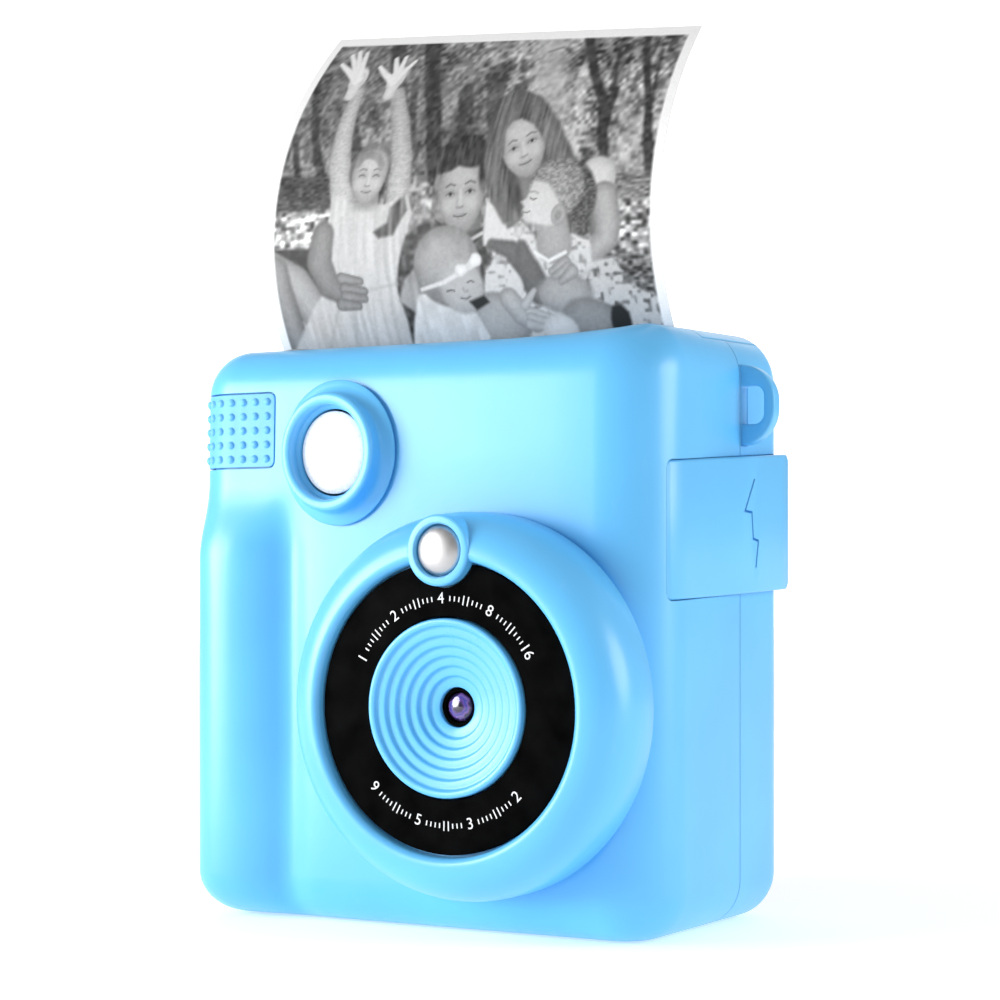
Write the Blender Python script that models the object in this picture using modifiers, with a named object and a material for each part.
"""Kids' instant-print digital camera, built as an assembly of separate parts.

Frame: +Z up, the camera looks along -Y, the origin is the centre of the flat base.
Lengths are written in millimetres times MM, so that the model is in metres.
"""

import math

import bmesh
import bpy
from mathutils import Matrix, Vector

MM = 0.001
GAP = 0.3 * MM  # clearance kept between neighbouring solids

# ---------------------------------------------------------------- driving dimensions
WIDTH, DEPTH, HEIGHT = 96 * MM, 54.4 * MM, 103.2 * MM
WALL = 2.0 * MM
EDGE_R = 8.4 * MM  # fillet round the top and the base
CORNER_FR, CORNER_FL, CORNER_REAR = 12 * MM, 9.4 * MM, 8.6 * MM
FRONT, REAR = -DEPTH / 2, DEPTH / 2
SEAM_Y = 5.8 * MM  # plane where the front and rear shells meet

GRIP_BULGE, GRIP_VALLEY = 3.7 * MM, 1.1 * MM
GRIP_FULL_Z, GRIP_FADE_Z = 65 * MM, 79 * MM
BROW_Z, BROW_LEAN = 82 * MM, math.tan(math.radians(1.5))
TOP_RISE = 3.4 * MM  # how far the top swells towards its right side

PAPER_W = 82.5 * MM  # 3 1/4 inch thermal roll
LENS_X, LENS_Z = 15.6 * MM, 39.9 * MM
BEZEL_R, BEZEL_NECK_R, BEZEL_PROUD = 32.9 * MM, 29.3 * MM, 14.8 * MM
MIRROR_DX, MIRROR_DZ = -0.6 * MM, 26.3 * MM
FLASH_X, FLASH_Z = -14.4 * MM, 83.7 * MM
FLASH_OVAL = 0.92  # the flash is a little narrower than it is tall

SLOT_Y0, SLOT_Y1 = -7.0 * MM, -3.2 * MM  # paper slot in the top face
DOOR_HALF_W, DOOR_LOW_Z = 44.8 * MM, 68.3 * MM
DOOR_PIVOT = Vector((0, REAR - 1.5 * MM, 66.5 * MM))
PLATEN = Vector((0, -0.2 * MM, 91.0 * MM))
PLATEN_R = 3.8 * MM
ROLL = Vector((0, 8.5 * MM, 77.4 * MM))
ROLL_R, ROLL_CORE_R = 12.0 * MM, 5.0 * MM
LEADER_Y = -4.45 * MM

GEAR_MODULE, GEAR_X, GEAR_W = 0.45 * MM, 43.9 * MM, 1.4 * MM
PLATEN_TEETH, IDLER_TEETH, PINION_TEETH = 20, 32, 12
MOTOR = Vector((0, -13.0 * MM, 75.5 * MM))

PORT_FRONT_Y, PORT_REAR_Y = -20.6 * MM, 22.0 * MM
PORT_LOW_Z, PORT_HIGH_Z = 57.5 * MM, 81.6 * MM
PORT_RISE_LOW, PORT_RISE_HIGH = 0.04, 0.062  # the flap's edges climb towards the rear
PORT_PROUD, PORT_SINK = 2.2 * MM, 1.2 * MM

LCD_X0, LCD_X1, LCD_Z0, LCD_Z1 = -15 * MM, 35 * MM, 17.5 * MM, 55.5 * MM
PAD_X, PAD_Y, PAD_Z0, PAD_Z1 = -28.6 * MM, -10 * MM, 81.3 * MM, 95.1 * MM
PAD_T = 0.9 * MM

KEY_X, KEY_Z, KEY_STEP = -28 * MM, 34 * MM, 7.8 * MM
SCREW_SPOTS = [(39 * MM, 11 * MM), (-39 * MM, 11 * MM), (26 * MM, 60.8 * MM), (-29 * MM, 60.8 * MM)]
SHUTTER_X, POWER_X, TOP_KEY_Y = -31 * MM, -17 * MM, -13.9 * MM

LUG_Y0, LUG_Y1, LUG_Z = 6.3 * MM, 8.9 * MM, 92 * MM
LUG_OUT, LUG_HALF_H = 54.3 * MM, 7.1 * MM

PRINT_VERTEX_Y, PRINT_VERTEX_Z = -12.2 * MM, 123.7 * MM  # where the curl leans furthest out
PRINT_LOW_Z, PRINT_TOP_LEFT, PRINT_TOP_RIGHT = 101 * MM, 167.2 * MM, 159.2 * MM

# The direction that a turned or extruded part's local Z is pointed in
FACING = {
    "up": (0, 0, 0),
    "front": (math.pi / 2, 0, 0),
    "back": (-math.pi / 2, 0, 0),
    "right": (0, math.pi / 2, 0),
}

# ---------------------------------------------------------------- materials
COLOURS = {  # name: (base colour, roughness, metallic)
    "blue_plastic": ((0.27, 0.66, 0.95), 0.38, 0.0),
    "black_gloss": ((0.01, 0.01, 0.012), 0.18, 0.0),
    "white_key": ((0.86, 0.87, 0.88), 0.35, 0.0),
    "silver": ((0.82, 0.80, 0.79), 0.12, 1.0),
    "steel": ((0.62, 0.62, 0.64), 0.35, 1.0),
    "clear": ((0.95, 0.97, 1.0), 0.05, 0.0),
    "lens_glass": ((0.05, 0.03, 0.12), 0.04, 0.0),
    "rubber": ((0.05, 0.05, 0.055), 0.75, 0.0),
    "grey_plastic": ((0.22, 0.23, 0.25), 0.5, 0.0),
    "white_plastic": ((0.80, 0.80, 0.78), 0.45, 0.0),
    "circuit_board": ((0.02, 0.19, 0.10), 0.45, 0.0),
    "battery_foil": ((0.66, 0.67, 0.70), 0.4, 0.6),
    "paper": ((0.92, 0.92, 0.90), 0.7, 0.0),
}


def material(name):
    found = bpy.data.materials.get(name)
    if found:
        return found
    colour, roughness, metallic = COLOURS[name]
    made = bpy.data.materials.new(name)
    made.use_nodes = True
    shader = made.node_tree.nodes["Principled BSDF"]
    shader.inputs["Base Color"].default_value = (*colour, 1)
    shader.inputs["Roughness"].default_value = roughness
    shader.inputs["Metallic"].default_value = metallic
    return made


# ---------------------------------------------------------------- scene helpers
def clear_scene():
    for obj in list(bpy.data.objects):
        bpy.data.objects.remove(obj)


def collection(name):
    made = bpy.data.collections.new(name)
    bpy.context.scene.collection.children.link(made)
    return made


def add_object(name, data, look, helper=False):
    """A named object in the camera's collection, or in the cutters' one."""
    obj = bpy.data.objects.new(name, data)
    if helper:
        CUTTERS.objects.link(obj)
        obj.hide_render = True
        obj.display_type = "WIRE"
    else:
        CAMERA.objects.link(obj)
    if look:
        data.materials.append(material(look))
    return obj


def from_bmesh(name, bm, look, helper=False, smooth=None):
    mesh = bpy.data.meshes.new(name)
    bmesh.ops.recalc_face_normals(bm, faces=bm.faces)
    bm.to_mesh(mesh)
    bm.free()
    if smooth:
        mesh.shade_smooth()
        mesh.set_sharp_from_angle(angle=math.radians(smooth))
    return add_object(name, mesh, look, helper)


def box(name, low, high, look=None, helper=False, bevel=0):
    """A box between two corners, with its origin at its centre."""
    low, high = Vector(low), Vector(high)
    bm = bmesh.new()
    bmesh.ops.create_cube(bm, size=1)
    bmesh.ops.scale(bm, vec=high - low, verts=bm.verts)
    obj = from_bmesh(name, bm, look, helper)
    obj.location = (low + high) / 2
    if bevel:
        rounded = obj.modifiers.new("Bevel", "BEVEL")
        rounded.width = bevel
        rounded.segments = 2
    return obj


def cylinder(name, radius, low, high, centre, facing, look=None, helper=False, sides=24):
    """A cylinder from low to high along the direction it faces, from centre."""
    bm = bmesh.new()
    bmesh.ops.create_cone(
        bm, cap_ends=True, segments=sides, radius1=radius, radius2=radius, depth=high - low
    )
    bmesh.ops.translate(bm, vec=(0, 0, (low + high) / 2), verts=bm.verts)
    obj = from_bmesh(name, bm, look, helper, smooth=40)
    obj.location = centre
    obj.rotation_euler = FACING[facing]
    return obj


def turned(name, profile, centre, facing, look=None, helper=False, steps=32):
    """A closed (radius, height) profile turned about local Z with a Screw modifier."""
    area = sum(
        a[0] * b[1] - b[0] * a[1] for a, b in zip(profile, profile[1:] + profile[:1])
    )
    if area > 0:  # the outer side has to run from top to bottom
        profile = profile[::-1]
    on_axis = [i for i, p in enumerate(profile) if p[0] == 0]
    if on_axis:  # start at the axis, so that no edge lies along it
        start = next(i for i in on_axis if (i - 1) % len(profile) in on_axis)
        profile = profile[start:] + profile[:start]
    mesh = bpy.data.meshes.new(name)
    count = len(profile)
    edges = [(i, i + 1) for i in range(count - 1)]
    if not on_axis:
        edges.append((count - 1, 0))
    mesh.from_pydata([(r, 0, h) for r, h in profile], edges, [])
    obj = add_object(name, mesh, look, helper)
    screw = obj.modifiers.new("Turn", "SCREW")
    screw.steps = screw.render_steps = steps
    screw.use_merge_vertices = True
    screw.merge_threshold = 0.00001
    screw.use_smooth_shade = False
    obj.location = centre
    obj.rotation_euler = FACING[facing]
    return obj


def flat_outline(name, loops, thickness, centre, facing, look=None):
    """Closed loops of (x, y) points, filled and extruded by half the thickness each way."""
    curve = bpy.data.curves.new(name, "CURVE")
    curve.dimensions = "2D"
    curve.fill_mode = "BOTH"
    curve.extrude = thickness / 2
    for loop in loops:
        spline = curve.splines.new("POLY")
        spline.points.add(len(loop) - 1)
        for point, (x, y) in zip(spline.points, loop):
            point.co = (x, y, 0, 1)
        spline.use_cyclic_u = True
    obj = add_object(name, curve, look)
    obj.location = centre
    obj.rotation_euler = FACING[facing]
    return obj


def extruded(name, outline, low, high, axis, look=None, helper=False):
    """A closed outline extruded from low to high along X or Y.

    Along X the outline's points are (y, z), and along Y they are (x, z).
    """
    place = {"X": lambda a, b, h: (h, a, b), "Y": lambda a, b, h: (a, h, b)}[axis]
    bm = bmesh.new()
    base = bm.faces.new([bm.verts.new(place(a, b, low)) for a, b in outline])
    grown = bmesh.ops.extrude_face_region(bm, geom=[base])
    top = [v for v in grown["geom"] if isinstance(v, bmesh.types.BMVert)]
    bmesh.ops.translate(bm, vec=place(0, 0, high - low), verts=top)
    return from_bmesh(name, bm, look, helper)


def circle(radius, sides, phase=0.0, centre=(0, 0)):
    return [
        (
            centre[0] + radius * math.cos(phase + 2 * math.pi * i / sides),
            centre[1] + radius * math.sin(phase + 2 * math.pi * i / sides),
        )
        for i in range(sides)
    ]


def arc(centre, radius, start, end, steps):
    """Points of an arc, with its angles in degrees and both ends included."""
    angles = [math.radians(start + (end - start) * i / steps) for i in range(steps + 1)]
    return [(centre[0] + radius * math.cos(a), centre[1] + radius * math.sin(a)) for a in angles]


def boolean(obj, cutter, operation="DIFFERENCE"):
    made = obj.modifiers.new(operation.title() + " " + cutter.name, "BOOLEAN")
    made.operation = operation
    made.object = cutter
    made.solver = "EXACT"
    return obj


def set_origin(obj, point):
    """Moves the object's origin to a point without moving its shape."""
    shift = Vector(point) - obj.location
    obj.data.transform(Matrix.Translation(-shift))
    obj.location = point
    return obj


# ---------------------------------------------------------------- body form
def smooth_step(t):
    t = max(0.0, min(1.0, t))
    return t * t * (3 - 2 * t)


def plan_points(grow, arc_steps=5):
    """(point, outward normal) round the plan, counterclockwise from the right side's front."""
    half_w, half_d = WIDTH / 2 + grow, DEPTH / 2 + grow
    radii = [CORNER_REAR, CORNER_REAR, CORNER_FL, CORNER_FR]
    signs = [(1, 1), (-1, 1), (-1, -1), (1, -1)]
    grip_xs = [-36.5, -35, -33.5, -32, -30.5, -29, -27.5, -26.5, -24.5, -22, -20, 8]
    found = []
    for quarter, (radius, (sx, sy)) in enumerate(zip(radii, signs)):
        r = radius + grow
        centre = Vector((sx * (half_w - r), sy * (half_d - r)))
        for i in range(arc_steps + 1):
            angle = math.radians(90 * (quarter + i / arc_steps))
            normal = Vector((math.cos(angle), math.sin(angle)))
            found.append((centre + r * normal, normal))
        if quarter == 0:
            found.append((Vector((0, half_d)), Vector((0, 1))))
        if quarter == 2:
            found += [(Vector((x * MM, -half_d)), Vector((0, -1))) for x in grip_xs]
    return found


def front_offset(x, z):
    """How far the front stands forward of its plane, from the grip, the valley and the brow."""
    x_mm = x / MM
    fade = 1 - smooth_step((z - GRIP_FULL_Z) / (GRIP_FADE_Z - GRIP_FULL_Z))
    rise = smooth_step((x_mm + 51) / 7.5)
    fall = max(0.0, min(1.0, (x_mm + 38) / 11.5)) ** 2
    back = smooth_step((x_mm + 26.5) / 6.5)
    grip = GRIP_BULGE * rise * (1 - fall) - GRIP_VALLEY * (fall - back)
    return fade * grip - max(0.0, z - BROW_Z) * BROW_LEAN


def top_rise(x, y, z):
    """How far the upper edge and the top stand higher towards the right side."""
    across = smooth_step((x / MM - 18) / 26)
    along = smooth_step((y / MM + 28) / 24) * (1 - 0.3 * smooth_step((y / MM - 8) / 14))
    return TOP_RISE * across * along * smooth_step((z - BROW_Z) / (HEIGHT - BROW_Z))


def body_levels(grow, fillet_steps=4):
    """(z, inset) of each ring, from the base to the top."""
    r = EDGE_R + grow
    turn = [math.radians(90 * i / fillet_steps) for i in range(fillet_steps + 1)]
    low = [(r * (1 - math.sin(a)) - grow, r * (1 - math.cos(a))) for a in reversed(turn)]
    high = [(HEIGHT + grow - r * (1 - math.sin(a)), r * (1 - math.cos(a))) for a in turn]
    middle = [(z * MM, 0.0) for z in (40, 65, 69, 72, 75, 79, 82)]
    return low + middle + high


def body_solid(name, grow=0.0, look=None, helper=True):
    """The camera's whole outer form, grown by an even offset, as one closed loft."""
    plan = plan_points(grow)
    bm = bmesh.new()
    rings = []
    for z, inset in body_levels(grow):
        ring = []
        for point, normal in plan:
            x, y = point - normal * inset
            towards_front = smooth_step((-point.y / MM - 4) / 14)
            y -= front_offset(point.x, z) * towards_front * (1 - inset / (EDGE_R + grow))
            ring.append(bm.verts.new((x, y, z + top_rise(x, y, z))))
        rings.append(ring)
    for part in (0.7, 0.4):
        spots = [(v.co.x * part, v.co.y * part, HEIGHT + grow) for v in rings[len(body_levels(grow)) - 1]]
        rings.append([bm.verts.new((x, y, z + top_rise(x, y, z))) for x, y, z in spots])
    count = len(plan)
    for low, high in zip(rings, rings[1:]):
        for i in range(count):
            j = (i + 1) % count
            bm.faces.new((low[i], low[j], high[j], high[i]))
    bm.faces.new(rings[0][::-1])
    bm.faces.new(rings[-1])
    return from_bmesh(name, bm, look, helper, smooth=35)


# ---------------------------------------------------------------- shared cutters
def make_cutters():
    """Solids that several of the camera's parts are cut with."""
    cut = {}
    cut["outer"] = body_solid("Outer Form")
    cut["inner"] = body_solid("Inner Form", -WALL)
    cut["grown"] = body_solid("Grown Form", GAP)
    cut["post limit"] = body_solid("Post Limit", -1.2 * MM)
    cut["front half"] = box(
        "Front Half", (-0.1, -0.1, -0.1), (0.1, SEAM_Y + GAP / 2, 0.2), helper=True
    )
    cut["rear half"] = box(
        "Rear Half", (-0.1, SEAM_Y - GAP / 2, -0.1), (0.1, 0.1, 0.2), helper=True
    )
    reach = DOOR_HALF_W + GAP
    cut["door opening"] = box(
        "Door Opening", (-reach, SLOT_Y1 - GAP, 67.5 * MM), (reach, 0.06, 0.13), helper=True
    )
    cut["hinge opening"] = box(
        "Hinge Opening", (-38.8 * MM, 19 * MM, 64.6 * MM), (38.8 * MM, 0.06, 0.07), helper=True
    )
    cut["paper slot"] = box(
        "Paper Slot", (-42.3 * MM, SLOT_Y0, 96 * MM), (42.3 * MM, 0, 0.13), helper=True
    )
    cut["port recess"] = extruded("Port Recess", port_outline(0), 30 * MM, 60 * MM, "X", helper=True)
    boolean(cut["port recess"], body_solid("Port Floor Form", -PORT_SINK))
    cut["pad recess"] = pad_block("Pad Recess", 0)
    boolean(cut["pad recess"], body_solid("Pad Floor Form", -PAD_T - GAP))
    cut["lug slot"] = box(
        "Lug Slot",
        (44 * MM, SEAM_Y - GAP, LUG_Z - LUG_HALF_H - GAP),
        (50 * MM, LUG_Y1 + GAP, LUG_Z + LUG_HALF_H + GAP),
        helper=True,
    )
    return cut


def port_edges(y):
    """The lower and upper edges of the port flap's recess at a depth y."""
    along = y - PORT_FRONT_Y
    return PORT_LOW_Z + PORT_RISE_LOW * along, PORT_HIGH_Z + PORT_RISE_HIGH * along


def port_outline(inset):
    y0, y1 = PORT_FRONT_Y + inset, PORT_REAR_Y - inset
    low0, high0 = port_edges(y0)
    low1, high1 = port_edges(y1)
    return [(y0, low0 + inset), (y1, low1 + inset), (y1, high1 - inset), (y0, high0 - inset)]


def pad_block(name, inset):
    low = (-60 * MM, -60 * MM, PAD_Z0 + inset)
    high = (PAD_X - inset, PAD_Y - inset, PAD_Z1 - inset)
    return box(name, low, high, "blue_plastic" if inset else None, helper=not inset)


# ---------------------------------------------------------------- shells
def make_front_shell(cut):
    shell = body_solid("front_shell", look="blue_plastic", helper=False)
    for key in ("inner", "rear half", "door opening", "paper slot", "port recess", "pad recess", "lug slot"):
        boolean(shell, cut[key])
    for i, (x, z) in enumerate(SCREW_SPOTS):
        reach = front_offset(x, z) - FRONT - 1.2 * MM
        post = cylinder(
            f"Screw Post {i}", 2.8 * MM, -21 * MM, reach, (x, 0, z), "front", helper=True, sides=14
        )
        boolean(post, cut["post limit"], "INTERSECT")
        boolean(shell, post, "UNION")
        pilot = cylinder(
            f"Pilot Hole {i}", 1.25 * MM, -22 * MM, -9 * MM, (x, 0, z), "front", helper=True, sides=10
        )
        boolean(shell, pilot)
    holes = [
        cylinder("Camera Hole", 10 * MM, 22 * MM, 40 * MM, (LENS_X, 0, LENS_Z), "front", None, True),
        cylinder("Flash Hole", 9 * MM, 20 * MM, 40 * MM, (FLASH_X, 0, FLASH_Z), "front", None, True),
        cylinder("Shutter Hole", 4.9 * MM, 0.09, 0.11, (SHUTTER_X, TOP_KEY_Y, 0), "up", None, True),
        cylinder("Power Hole", 2.7 * MM, 0.09, 0.11, (POWER_X, TOP_KEY_Y, 0), "up", None, True),
        box("Card Hole", (44 * MM, -8.6 * MM, 59.4 * MM), (50 * MM, 3.9 * MM, 61.8 * MM), helper=True),
    ]
    holes[1].scale.x = FLASH_OVAL
    for hole in holes:
        boolean(shell, hole)


def make_rear_shell(cut):
    shell = body_solid("rear_shell", look="blue_plastic", helper=False)
    boolean(shell, cut["inner"])
    for i, (x, z) in enumerate(SCREW_SPOTS):
        tube = cylinder(
            f"Screw Tube {i}", 4.0 * MM, 21.3 * MM, 25.9 * MM, (x, 0, z), "back", helper=True, sides=16
        )
        boolean(shell, tube, "UNION")
    for key in ("front half", "door opening", "hinge opening", "port recess", "lug slot"):
        boolean(shell, cut[key])
    for i, (x, z) in enumerate(SCREW_SPOTS):
        sink = cylinder(
            f"Screw Sink {i}", 2.7 * MM, 23 * MM, 40 * MM, (x, 0, z), "back", helper=True, sides=16
        )
        clearance = cylinder(
            f"Screw Hole {i}", 1.3 * MM, 20 * MM, 24 * MM, (x, 0, z), "back", helper=True, sides=10
        )
        boolean(shell, sink)
        boolean(shell, clearance)
    for i, (low, high) in enumerate(((-38.5, -28.3), (-11.7, 11.7), (28.3, 38.5))):
        boolean(shell, hinge_knuckle(f"Shell Knuckle {i}", low * MM, high * MM, -1), "UNION")
    boolean(shell, hinge_bore())
    window = box(
        "Screen Hole", (LCD_X0, 22 * MM, LCD_Z0), (LCD_X1, 40 * MM, LCD_Z1), helper=True
    )
    usb = box("Usb Hole", (44 * MM, 8.4 * MM, 59.2 * MM), (50 * MM, 18.2 * MM, 63 * MM), helper=True)
    boolean(shell, window)
    boolean(shell, usb)
    for name, x, z, radius, _ in keys():
        hole = cylinder(
            name + " hole", radius + GAP, 22 * MM, 40 * MM, (x, 0, z), "back", helper=True, sides=20
        )
        boolean(shell, hole)
    for i in range(5):
        x = (1 + 4.2 * i) * MM
        slot = box(
            f"Speaker Slot {i}", (x, 22 * MM, 9.6 * MM), (x + 1.4 * MM, 40 * MM, 13.8 * MM), helper=True
        )
        boolean(shell, slot)


def hinge_knuckle(name, low, high, side):
    """A barrel round the paper door's pin, webbed up (side 1) or down (side -1) to the wall."""
    barrel = cylinder(name, 1.5 * MM, low, high, DOOR_PIVOT, "right", helper=True, sides=16)
    y, z = DOOR_PIVOT.y, DOOR_PIVOT.z
    ends = sorted((z, z + side * 2.6 * MM))
    web = box(
        name + " Web", (low, y - 0.5 * MM, ends[0]), (high, y + 1.3 * MM, ends[1]), helper=True
    )
    return boolean(barrel, web, "UNION")


def hinge_bore():
    found = bpy.data.objects.get("Hinge Bore")
    return found or cylinder(
        "Hinge Bore", 1.05 * MM, -50 * MM, 50 * MM, DOOR_PIVOT, "right", helper=True, sides=12
    )


def make_paper_door(cut):
    door = body_solid("paper_door", look="blue_plastic", helper=False)
    boolean(door, cut["inner"])
    lid = box(
        "Door Region", (-DOOR_HALF_W, SLOT_Y1, DOOR_LOW_Z), (DOOR_HALF_W, 0.06, 0.13), helper=True
    )
    boolean(door, lid, "INTERSECT")
    for i, (low, high) in enumerate(((-28, -12), (12, 28))):
        boolean(door, hinge_knuckle(f"Door Knuckle {i}", low * MM, high * MM, 1), "UNION")
    boolean(door, hinge_bore())
    set_origin(door, DOOR_PIVOT)
    cylinder("hinge_pin", 0.75 * MM, -38.3 * MM, 38.3 * MM, DOOR_PIVOT, "right", "steel", sides=10)


def make_tear_bar():
    """A strip of small teeth along the front edge of the paper slot."""
    teeth = 27
    half = 41.4 * MM
    outline = [(half, 99.8 * MM), (-half, 99.8 * MM)]
    for i in range(teeth * 2 + 1):
        x = -half + i * half / teeth
        outline.append((x, (101.0 if i % 2 else 101.8) * MM))
    extruded("tear_bar", outline, -6.7 * MM, -6.3 * MM, "Y", "steel")


# ---------------------------------------------------------------- front features
def make_lens():
    centre = (LENS_X, FRONT, LENS_Z)
    crest_r, seat_r = 25.9 * MM, 24.9 * MM
    wide, tall = BEZEL_R - crest_r, 8.7 * MM
    rim = [
        (crest_r + wide * c, BEZEL_PROUD - tall + tall * s) for c, s in arc((0, 0), 1, 90, 0, 6)
    ]
    back = [(32.9, 1.6), (32.3, 1.0), (BEZEL_NECK_R / MM, 1.0), (BEZEL_NECK_R / MM, -12)]
    inside = [(27.0, -12), (27.0, 9.8), (15.4, 9.8), (15.4, 11.7), (seat_r / MM, 11.7)]
    profile = [(seat_r, 14.1 * MM), (crest_r - 0.5 * MM, 14.65 * MM)] + rim
    profile += [(r * MM, h * MM) for r, h in back + inside]
    bezel = turned("lens_bezel", profile, centre, "front", "blue_plastic", steps=48)
    mirror_at = (LENS_X + MIRROR_DX, FRONT, LENS_Z + MIRROR_DZ)
    boss = cylinder("Mirror Boss", 6.0 * MM, 10.8 * MM, 15.1 * MM, mirror_at, "front", helper=True)
    seat = cylinder("Mirror Seat", 4.55 * MM, 13.4 * MM, 17 * MM, mirror_at, "front", helper=True)
    boolean(bezel, boss, "UNION")
    boolean(bezel, seat)
    boolean(bezel, bpy.data.objects["Grown Form"])

    ring = [(15.35, 12.0), (24.45, 12.0), (24.45, 13.0), (24.2, 13.2), (15.35, 13.2)]
    face = turned("lens_face_ring", [(r * MM, h * MM) for r, h in ring], centre, "front", "black_gloss")
    notch = cylinder("Mirror Notch", 6.3 * MM, 8 * MM, 18 * MM, mirror_at, "front", helper=True)
    boolean(face, notch)

    steps, drop = 6, 0.7 * MM
    cone = [(15.0 * MM, 11.3 * MM), (15.0 * MM, 13.9 * MM)]
    for i in range(steps):
        radius = (14.0 - 1.7 * i) * MM
        height = 13.9 * MM - drop * i
        cone += [(radius, height), (radius - 0.35 * MM, height - drop)]
    cone += [(3.75 * MM, 9.7 * MM), (3.75 * MM, 7.6 * MM)]
    turned("lens_cone", cone, centre, "front", "blue_plastic")

    mirror = [(0, 15.7), (2, 15.55), (3.4, 15.1), (4.2, 14.4), (4.2, 13.7), (0, 13.7)]
    turned("selfie_mirror", [(r * MM, h * MM) for r, h in mirror], mirror_at, "front", "silver", steps=20)

    barrel = [
        (0, -2.4), (5.5, -2.4), (5.5, 2.0), (3.45, 2.0), (3.45, 9.8), (2.65, 10.0), (2.65, 8.8), (0, 8.8),
    ]
    turned("lens_barrel", [(r * MM, h * MM) for r, h in barrel], centre, "front", "black_gloss", steps=20)
    glass = [(0, 10.1), (1.3, 9.95), (2.35, 9.5), (2.35, 9.1), (0, 9.1)]
    turned("lens_glass", [(r * MM, h * MM) for r, h in glass], centre, "front", "lens_glass", steps=16)
    x, z = LENS_X, LENS_Z
    box(
        "camera_board", (x - 9 * MM, -24.4 * MM, z - 9 * MM), (x + 9 * MM, -23.4 * MM, z + 9 * MM),
        "circuit_board", bevel=0.2 * MM,
    )


def make_flash():
    centre = (FLASH_X, FRONT, FLASH_Z)
    bezel = [
        (8.4, 2.6), (8.4, 4.3), (8.9, 4.8), (9.8, 4.8), (10.5, 4.1), (10.5, 2.3), (11.1, 1.3),
        (12.9, 0.8), (12.9, 0.5), (8.7, 0.5), (8.7, -4.2), (7.7, -4.2), (7.7, 2.0),
    ]
    lens = [(0, 2.6), (4.5, 2.5), (7.3, 2.1), (7.3, 1.5), (0, 1.5)]
    cup = [(7.3, 1.2), (6.7, 1.2), (2.6, -4.6), (2.6, -5.4), (3.4, -5.4), (7.3, 0.3)]
    for name, profile, look in (
        ("flash_bezel", bezel, "blue_plastic"),
        ("flash_lens", lens, "clear"),
        ("flash_reflector", cup, "silver"),
    ):
        piece = turned(name, [(r * MM, h * MM) for r, h in profile], centre, "front", look)
        piece.scale.x = FLASH_OVAL
    x, z = FLASH_X, FLASH_Z
    board = box(
        "flash_board", (x - 8 * MM, -20 * MM, z - 8 * MM), (x + 8 * MM, -19 * MM, z + 8 * MM), "circuit_board"
    )
    led = box(
        "Flash Led", (x - 1.6 * MM, -21 * MM, z - 1.6 * MM), (x + 1.6 * MM, -19.5 * MM, z + 1.6 * MM),
        helper=True,
    )
    boolean(board, led, "UNION")


def make_grip_pad(cut):
    pad = pad_block("grip_pad", GAP)
    boolean(pad, cut["outer"], "INTERSECT")
    boolean(pad, body_solid("Pad Back Form", -PAD_T))


def make_port_flap():
    """A flap that lies flush at its front end and stands proud towards the rear."""
    centre, radius = Vector((WIDTH / 2 - CORNER_FR, FRONT + CORNER_FR)), CORNER_FR
    stations = []
    for degrees in (-26, -19, -12, -6):
        a = math.radians(degrees)
        stations.append((centre, Vector((math.cos(a), math.sin(a))), radius))
    for y in (-15.2, -9, -2, 5, 13, 20.4, 21.7):
        stations.append((Vector((0, y * MM)), Vector((1, 0)), WIDTH / 2))
    bm = bmesh.new()
    rings = []
    for place, normal, reach in stations:
        middle = place + normal * reach
        low, high = port_edges(middle.y)
        rise = smooth_step((middle.y / MM + 20) / 32) * PORT_PROUD
        corners = []
        for depth, z in ((-0.85 * MM, low), (rise, low), (rise, high), (-0.85 * MM, high)):
            trim = GAP if z == low else -GAP
            spot = place + normal * (reach + depth)
            corners.append(bm.verts.new((spot.x, spot.y, z + trim)))
        rings.append(corners)
    for a, b in zip(rings, rings[1:]):
        for i in range(4):
            j = (i + 1) % 4
            bm.faces.new((a[i], a[j], b[j], b[i]))
    bm.faces.new(rings[0][::-1])
    bm.faces.new(rings[-1])
    flap = from_bmesh("port_flap", bm, "blue_plastic")
    bolt = [(7.3, 79.1), (3.9, 74.4), (6, 74.2), (4.9, 69.2), (6.7, 68.4), (8.6, 63.3), (9.2, 70.4), (7.5, 70.8)]
    mark = extruded(
        "Bolt Mark", [(y * MM, z * MM) for y, z in bolt], 49.8 * MM, 52 * MM, "X", helper=True
    )
    boolean(flap, mark)
    set_origin(flap, (46.3 * MM, -20.5 * MM, 68 * MM))


def make_strap_lug():
    z, corner = LUG_Z, 6.4 * MM
    reach = LUG_HALF_H - corner
    outline = [(45.2 * MM, z + LUG_HALF_H), (45.2 * MM, z - LUG_HALF_H)]
    outline += arc((LUG_OUT - corner, z - reach), corner, -90, 0, 5)
    outline += arc((LUG_OUT - corner, z + reach), corner, 0, 90, 5)
    lug = extruded("strap_lug", outline, LUG_Y0, LUG_Y1, "Y", "blue_plastic")
    hole_r = 1.9 * MM
    x0, x1, half = 48.0 * MM, 52.25 * MM, 3.4 * MM
    hole = [(x0, z + half), (x0, z - half)]
    hole += arc((x1 - hole_r, z - half + hole_r), hole_r, -90, 0, 3)
    hole += arc((x1 - hole_r, z + half - hole_r), hole_r, 0, 90, 3)
    boolean(lug, extruded("Lug Hole", hole, 0, 20 * MM, "Y", helper=True))


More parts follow.
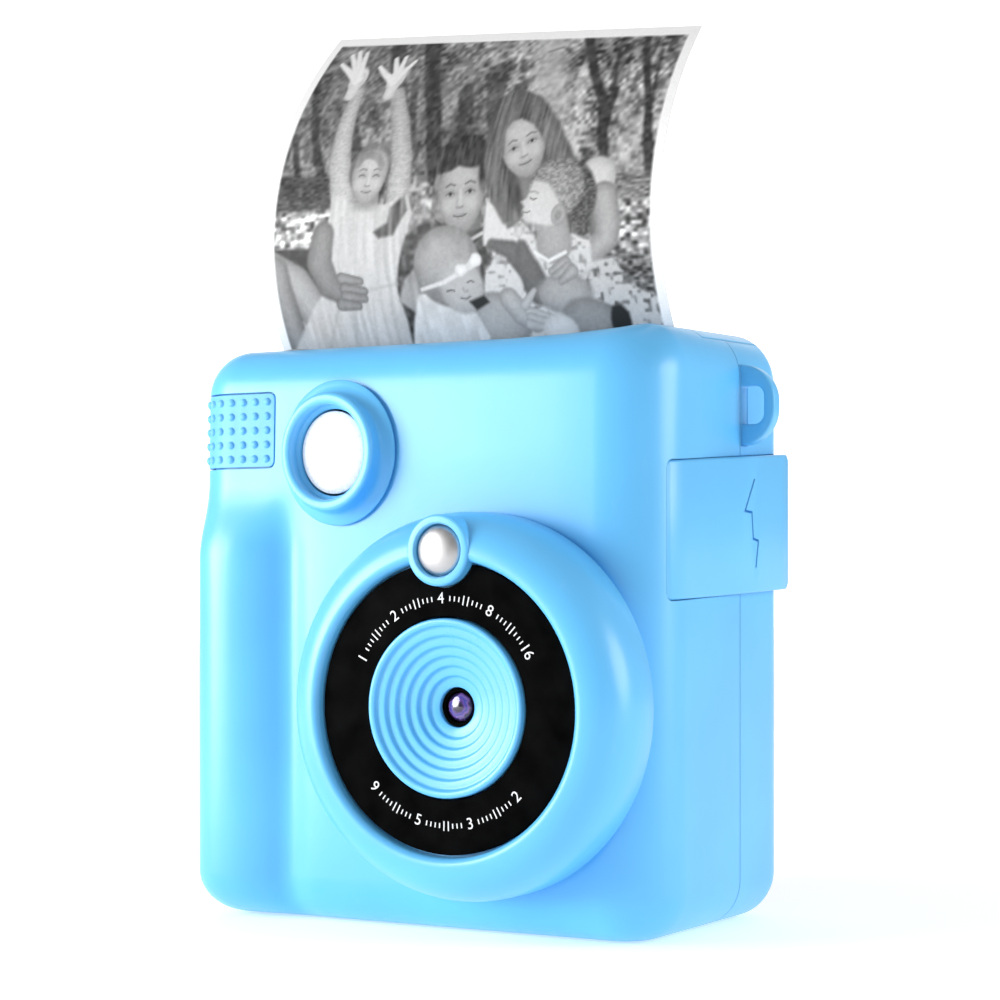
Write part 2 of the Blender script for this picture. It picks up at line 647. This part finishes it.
# ---------------------------------------------------------------- keys and screen
def keys():
    """(name, x, z, radius, flange) of each key on the back."""
    found = [("ok_key", KEY_X, KEY_Z, 3.4 * MM, 4.1 * MM)]
    steps = {"up": (0, 1), "down": (0, -1), "left": (1, 0), "right": (-1, 0)}
    for name, (dx, dz) in steps.items():
        x, z = KEY_X + dx * KEY_STEP, KEY_Z + dz * KEY_STEP
        found.append((name + "_key", x, z, 2.7 * MM, 3.3 * MM))
    corners = {"play": (5.5, 51), "mode": (-5.5, 51), "delete": (5.5, 17), "menu": (-5.5, 17)}
    for name, (dx, z) in corners.items():
        found.append((name + "_key", KEY_X + dx * MM, z * MM, 2.6 * MM, 3.3 * MM))
    return found


def make_keys():
    for name, x, z, radius, flange in keys():
        profile = [
            (0, 23.1 * MM), (flange, 23.1 * MM), (flange, 24.7 * MM), (radius, 24.7 * MM),
            (radius, 27.6 * MM), (radius - 0.5 * MM, 28.1 * MM), (0, 28.2 * MM),
        ]
        turned(name, profile, (x, 0, z), "back", "white_key", steps=16)


def make_top_keys():
    sizes = {
        "shutter_button": (SHUTTER_X, 4.6 * MM, 5.2 * MM, 0.3 * MM, "silver"),
        "power_button": (POWER_X, 2.4 * MM, 3.2 * MM, 0.2 * MM, "white_key"),
    }
    for name, (x, radius, flange, proud, look) in sizes.items():
        profile = [
            (0, 99 * MM), (flange, 99 * MM), (flange, 100.7 * MM), (radius, 100.7 * MM),
            (radius, HEIGHT + proud - 0.4 * MM), (radius - 0.6 * MM, HEIGHT + proud), (0, HEIGHT + proud),
        ]
        turned(name, profile, (x, TOP_KEY_Y, 0), "up", look, steps=20)
    board = box(
        "top_switch_board", (-38 * MM, -18.5 * MM, 96.2 * MM), (-12 * MM, -9 * MM, 97.2 * MM), "circuit_board"
    )
    for i, x in enumerate((SHUTTER_X, POWER_X)):
        switch = box(
            f"Top Switch {i}", (x - 2 * MM, TOP_KEY_Y - 2 * MM, 96.7 * MM),
            (x + 2 * MM, TOP_KEY_Y + 2 * MM, 98 * MM), helper=True,
        )
        boolean(board, switch, "UNION")


def make_screen():
    box(
        "screen_window", (LCD_X0 + GAP, 25.7 * MM, LCD_Z0 + GAP), (LCD_X1 - GAP, 27.0 * MM, LCD_Z1 - GAP),
        "black_gloss", bevel=0.3 * MM,
    )
    box(
        "screen_panel", (LCD_X0 - MM, 22.6 * MM, LCD_Z0 - MM), (LCD_X1 + MM, 24.9 * MM, LCD_Z1 + MM),
        "grey_plastic", bevel=0.2 * MM,
    )


# ---------------------------------------------------------------- electronics
def make_electronics():
    board = box(
        "main_board", (-35 * MM, 17.6 * MM, 14.2 * MM), (35.4 * MM, 18.8 * MM, 55.4 * MM), "circuit_board"
    )
    chips = [(-8, 24, 6, 6), (8, 40, 4, 3), (-22, 30, 3, 4), (22, 44, 5, 3)]
    for i, (x, z, w, h) in enumerate(chips):
        chip = box(
            f"Chip {i}", ((x - w) * MM, 18 * MM, (z - h) * MM), ((x + w) * MM, 20 * MM, (z + h) * MM),
            helper=True,
        )
        boolean(board, chip, "UNION")
    box(
        "key_board", (-42 * MM, 21.2 * MM, 15.4 * MM), (-16.6 * MM, 22.2 * MM, 56.4 * MM), "circuit_board"
    )
    box("battery", (-27 * MM, 7.5 * MM, 8 * MM), (31 * MM, 15.5 * MM, 50 * MM), "battery_foil", bevel=1.2 * MM)
    box("speaker", (0, 20.6 * MM, 7.2 * MM), (20 * MM, 24.7 * MM, 15.6 * MM), "grey_plastic", bevel=0.6 * MM)
    box(
        "port_board", (30.2 * MM, -10 * MM, 58.1 * MM), (45.4 * MM, 17.2 * MM, 59.1 * MM), "circuit_board"
    )
    usb = box(
        "usb_socket", (38 * MM, 8.8 * MM, 59.5 * MM), (46.4 * MM, 17.8 * MM, 62.8 * MM), "steel", bevel=0.9 * MM
    )
    mouth = box(
        "Usb Mouth", (40 * MM, 9.4 * MM, 60.1 * MM), (50 * MM, 17.2 * MM, 62.2 * MM), helper=True
    )
    tongue = box(
        "Usb Tongue", (39.5 * MM, 10.3 * MM, 60.8 * MM), (45.6 * MM, 16.3 * MM, 61.5 * MM), helper=True
    )
    boolean(usb, mouth)
    boolean(usb, tongue, "UNION")
    socket = box(
        "card_socket", (31 * MM, -8.8 * MM, 59.4 * MM), (45.6 * MM, 4.1 * MM, 61.4 * MM), "steel"
    )
    slot = box("Card Slot", (33 * MM, -8.1 * MM, 59.8 * MM), (50 * MM, 3.4 * MM, 61.0 * MM), helper=True)
    boolean(socket, slot)
    box(
        "memory_card", (34 * MM, -7.8 * MM, 60.1 * MM), (46.6 * MM, 3.1 * MM, 60.7 * MM), "black_gloss"
    )


def make_screws():
    """Four equal screws, each with a washer head and a plain shank."""
    profile = [(0, 10.5), (0.95, 10.5), (0.95, 23.3), (2.2, 23.3), (2.2, 24.3), (1.5, 24.9), (0, 24.9)]
    scaled = [(r * MM, h * MM) for r, h in profile]
    for i, (x, z) in enumerate(SCREW_SPOTS):
        turned(f"shell_screw_{i + 1}", scaled, (x, 0, z), "back", "steel", steps=12)


# ---------------------------------------------------------------- printer
def gear_outline(teeth, phase, module=GEAR_MODULE):
    """Outline of a spur gear with a tooth centred on the phase angle."""
    pitch = module * teeth / 2
    root, tip = pitch - 1.15 * module, pitch + 0.8 * module
    step = 2 * math.pi / teeth
    outline = []
    for i in range(teeth):
        middle = phase + i * step
        for radius, half in ((root, 0.34), (pitch, 0.205), (tip, 0.10)):
            outline.append((radius, middle - half * step))
        for radius, half in ((tip, 0.10), (pitch, 0.205), (root, 0.34)):
            outline.append((radius, middle + half * step))
    return [(r * math.cos(a), r * math.sin(a)) for r, a in outline]


def idler_centre():
    """Where the idler meshes with both the platen's gear and the motor's pinion."""
    near = GEAR_MODULE * (PLATEN_TEETH + IDLER_TEETH) / 2
    far = GEAR_MODULE * (PINION_TEETH + IDLER_TEETH) / 2
    line = MOTOR - PLATEN
    span = line.length
    along = (near**2 - far**2 + span**2) / (2 * span)
    side = math.sqrt(near**2 - along**2)
    unit = line / span
    across = Vector((0, unit.z, -unit.y))
    return PLATEN + unit * along + across * side


def gear_phase(centre, other, gap=False, teeth=1):
    """Angle in the gear's own plane that points at the other gear's centre."""
    line = other - centre
    angle = math.atan2(line.y, -line.z)
    return angle + (math.pi / teeth if gap else 0)


def make_gears():
    idler = idler_centre()
    drive = gear_phase(PLATEN, idler)
    meshed = gear_phase(idler, PLATEN, True, IDLER_TEETH)
    step = 2 * math.pi / IDLER_TEETH
    to_motor = gear_phase(idler, MOTOR)
    nearest = meshed + round((to_motor - meshed) / step) * step
    turn = (to_motor - nearest) * IDLER_TEETH / PINION_TEETH
    pinion = gear_phase(MOTOR, idler, True, PINION_TEETH) + turn
    for name, centre, teeth, phase in (
        ("platen_gear", PLATEN, PLATEN_TEETH, drive),
        ("idler_gear", idler, IDLER_TEETH, meshed),
    ):
        loops = [gear_outline(teeth, phase), circle(1.55 * MM, 16)]
        place = (GEAR_X, centre.y, centre.z)
        flat_outline(name, loops, GEAR_W, place, "right", "white_plastic")
    low, high = GEAR_X - GEAR_W / 2, GEAR_X + GEAR_W / 2
    teeth = [(MOTOR.y + b, MOTOR.z - a) for a, b in gear_outline(PINION_TEETH, pinion)]
    small = extruded("motor_pinion", teeth, low, high, "X", "white_plastic")
    shaft = cylinder(
        "Motor Shaft", 0.95 * MM, 39.4 * MM, 45 * MM, MOTOR, "right", helper=True, sides=14
    )
    boolean(small, shaft, "UNION")
    set_origin(small, MOTOR)


def plate_outline():
    """Side plate of the printer's frame, with an open notch for the platen's bearing."""
    y, z = PLATEN.y / MM, PLATEN.z / MM
    lever = PLATEN - DOOR_PIVOT
    way = math.degrees(math.atan2(-lever.y, lever.z))
    rim = arc((y, z), 1.6, way + 30 + 90, way - 30 + 270, 6)
    left, right = rim[0], rim[-1]
    rise = math.tan(math.radians(90 - way - 30))
    top = (left[0] + (95.6 - left[1]) * rise, 95.6)
    slope = math.tan(math.radians(way - 30))
    shoulder = (12, right[1] + (12 - right[0]) * slope)
    points = [(-19.8, 69), (-3, 64), (21.2, 64), (21.2, 84), shoulder]
    points += rim[::-1] + [top, (-12.9, 95.6), (-12.9, 90), (-19.8, 81.5)]
    return [(a * MM, b * MM) for a, b in points]


def make_frame():
    outline = plate_outline()
    frame = extruded("printer_frame", outline, -42.9 * MM, -41.9 * MM, "X", "grey_plastic")
    other = extruded("Right Plate", outline, 41.9 * MM, 42.9 * MM, "X", helper=True)
    tray = box("Roll Tray", (-42.5 * MM, -2.8 * MM, 64.0 * MM), (42.5 * MM, 21 * MM, 65.0 * MM), helper=True)
    beam = box(
        "Cross Beam", (-42.5 * MM, -12.7 * MM, 84 * MM), (42.5 * MM, -11.7 * MM, 93.4 * MM), helper=True
    )
    idler = idler_centre()
    stub = cylinder(
        "Idler Stub", 1.25 * MM, 42.4 * MM, 45.1 * MM, (0, idler.y, idler.z), "right", helper=True, sides=14
    )
    shaft_hole = cylinder("Shaft Hole", 1.5 * MM, 40 * MM, 45 * MM, MOTOR, "right", helper=True, sides=14)
    for piece in (other, tray, beam, stub):
        boolean(frame, piece, "UNION")
    boolean(frame, shaft_hole)


def make_platen():
    turned(
        "platen_rubber",
        [(1.5 * MM, -40.5 * MM), (PLATEN_R, -40.5 * MM), (PLATEN_R, 40.5 * MM), (1.5 * MM, 40.5 * MM)],
        PLATEN, "right", "rubber", steps=24,
    )
    cylinder("platen_shaft", 1.2 * MM, -44.4 * MM, 44.8 * MM, PLATEN, "right", "steel", sides=16)
    bracket = box(
        "platen_bracket", (-41.7 * MM, -2.6 * MM, 99.6 * MM), (41.7 * MM, 3 * MM, 100.5 * MM), "steel"
    )
    for side in (-1, 1):
        ends = sorted((side * 40.8 * MM, side * 41.7 * MM))
        arm = box(
            f"Arm {side}", (ends[0], -2.6 * MM, 88.8 * MM), (ends[1], 2.6 * MM, 100 * MM), helper=True
        )
        boolean(bracket, arm, "UNION")
    hole = cylinder("Arm Hole", 1.5 * MM, -45 * MM, 45 * MM, PLATEN, "right", helper=True, sides=16)
    boolean(bracket, hole)
    set_origin(bracket, DOOR_PIVOT)


def make_print_head():
    head = [(-4.9, 85.5), (-4.9, 94.4), (-5.2, 94.7), (-6.1, 94.7), (-6.1, 85.5)]
    extruded("print_head", [(y * MM, z * MM) for y, z in head], -41 * MM, 41 * MM, "X", "white_plastic")
    sink = [(-6.4, 85.5), (-6.4, 94.7), (-7.3, 94.7), (-7.3, 93.6), (-8.3, 93.6), (-8.3, 92.4), (-7.3, 92.4)]
    sink += [(-7.3, 88.6), (-8.3, 88.6), (-8.3, 87.4), (-7.3, 87.4), (-7.3, 85.5)]
    extruded("head_heatsink", [(y * MM, z * MM) for y, z in sink], -41 * MM, 41 * MM, "X", "steel")
    leaf = arc((-13.1, 90), 4.4, -64, 64, 8) + arc((-13.1, 90), 4.05, 64, -64, 8)
    extruded("head_spring", [(y * MM, z * MM) for y, z in leaf], -30 * MM, 30 * MM, "X", "steel")


def make_paper():
    half = PAPER_W / 2
    roll = [(5.3 * MM, -half), (ROLL_R, -half), (ROLL_R, half), (5.3 * MM, half)]
    turned("paper_roll", roll, ROLL, "right", "paper", steps=32)
    core = [(3.8 * MM, -half), (ROLL_CORE_R, -half), (ROLL_CORE_R, half), (3.8 * MM, half)]
    turned("roll_core", core, ROLL, "right", "grey_plastic", steps=20)
    box(
        "paper_leader", (-half, LEADER_Y - 0.12 * MM, 77.4 * MM), (half, LEADER_Y + 0.12 * MM, 99.4 * MM),
        "paper",
    )


def make_motor():
    can = cylinder("motor", 6.4 * MM, 23.5 * MM, 40.9 * MM, MOTOR, "right", "steel", sides=28)
    flange = box(
        "Motor Flange", (40.6 * MM, -22.0 * MM, 71.5 * MM), (41.6 * MM, -6.0 * MM, 79.5 * MM), helper=True
    )
    bore = cylinder("Motor Bore", 1.4 * MM, 39 * MM, 45 * MM, MOTOR, "right", helper=True, sides=14)
    boolean(can, flange, "UNION")
    boolean(can, bore)


# ---------------------------------------------------------------- the printed picture
def curl_depth(z):
    """How far back the print's sheet stands at a height z."""
    reach = (z - PRINT_VERTEX_Z) / MM
    bend = 0.0133 if reach > 0 else 0.016
    return PRINT_VERTEX_Y + bend * reach * reach * MM


def make_print():
    """A curled sheet that has come out of the slot, torn a little aslant at its end."""
    columns, rows = 4, 16
    half = PAPER_W / 2
    bm = bmesh.new()
    grid = []
    for i in range(columns + 1):
        t = i / columns
        top = PRINT_TOP_LEFT + (PRINT_TOP_RIGHT - PRINT_TOP_LEFT) * t
        line = []
        for j in range(rows + 1):
            z = PRINT_LOW_Z + (top - PRINT_LOW_Z) * j / rows
            line.append(bm.verts.new((-half + PAPER_W * t, curl_depth(z), z)))
        grid.append(line)
    for a, b in zip(grid, grid[1:]):
        for j in range(rows):
            bm.faces.new((a[j], b[j], b[j + 1], a[j + 1]))
    sheet = from_bmesh("photo_print", bm, "paper")
    solid = sheet.modifiers.new("Thickness", "SOLIDIFY")
    solid.thickness = 0.26 * MM
    solid.offset = 0


# ---------------------------------------------------------------- build
clear_scene()
CAMERA = collection("Kids Print Camera")
CUTTERS = collection("Cutters")

CUT = make_cutters()
make_front_shell(CUT)
make_rear_shell(CUT)
make_paper_door(CUT)
make_tear_bar()
make_lens()
make_flash()
make_grip_pad(CUT)
make_port_flap()
make_strap_lug()
make_keys()
make_top_keys()
make_screen()
make_electronics()
make_screws()
make_gears()
make_frame()
make_platen()
make_print_head()
make_paper()
make_motor()
make_print()
